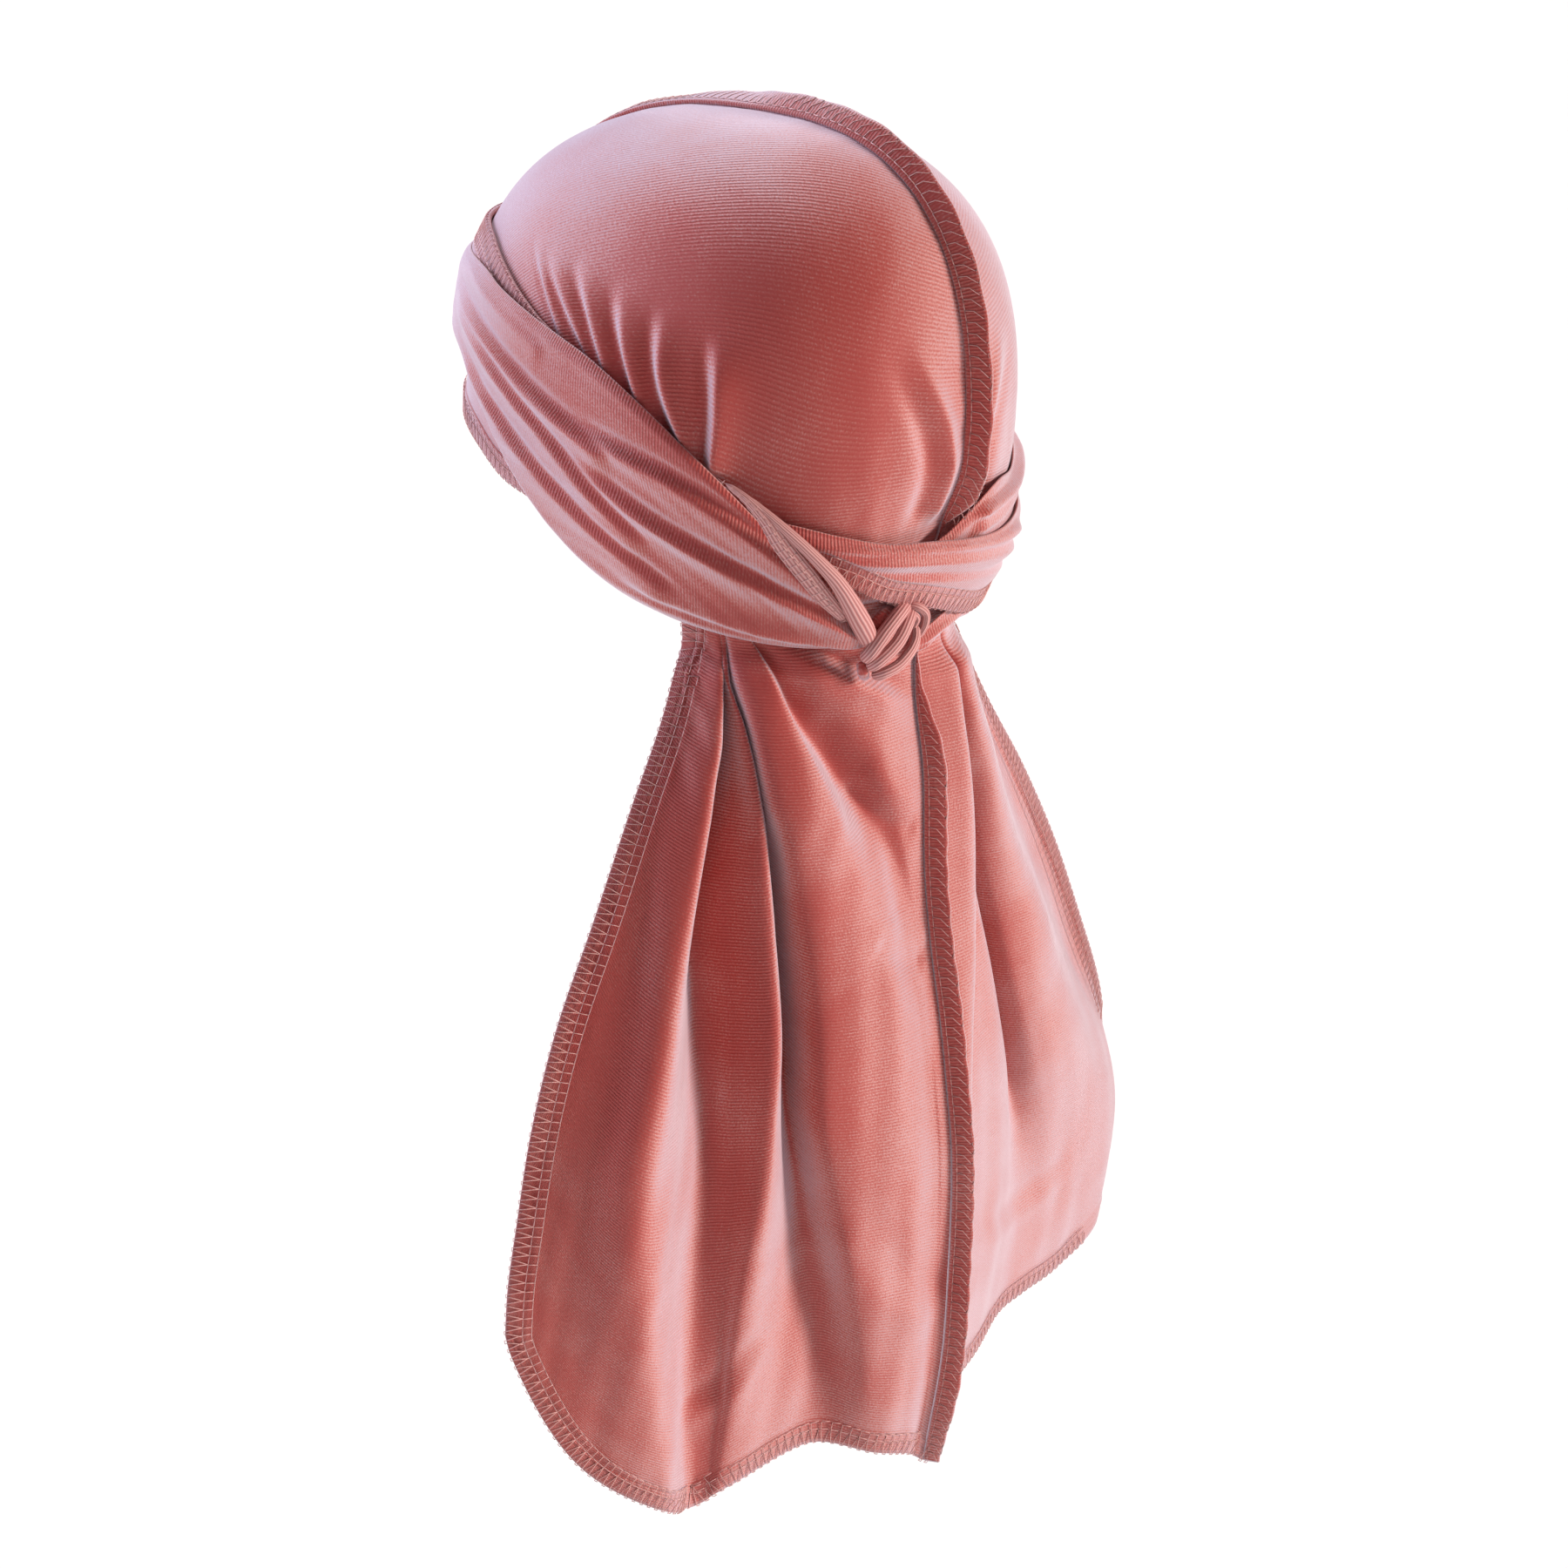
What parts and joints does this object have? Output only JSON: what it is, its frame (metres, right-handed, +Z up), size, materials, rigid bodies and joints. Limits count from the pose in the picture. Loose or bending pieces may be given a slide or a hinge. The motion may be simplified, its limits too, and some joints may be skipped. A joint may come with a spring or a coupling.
{
  "type": "durag",
  "caption": "Velvet durag in its worn shape: domed crown with a raised centre seam, straps wrapped round it and knotted at the nape, and a long gathered tail.",
  "frame": {"origin": "centre of the head that wears it, at the head's widest level", "axes": "+Z up to the crown, +Y to the wearer's back, where the knot and the tail are, +X to the wearer's left"},
  "size_m": [0.3023, 0.2075, 0.4754],
  "materials": {
    "velvet": "rose stretch velvet, pile side",
    "velvet_back": "lighter knitted wrong side of the same velvet"
  },
  "bodies": {
    "root": {"crown_left": "velvet", "crown_right": "velvet", "crown_seam": "velvet", "front_hem": "velvet", "strap_left": "velvet", "strap_right": "velvet", "rolled_edge": "velvet_back", "knot_wrap": "velvet_back", "knot_loop": "velvet_back", "knot_tip": "velvet", "tail_left": "velvet", "tail_right": "velvet", "tail_seam": "velvet"}
  },
  "joints": []
}
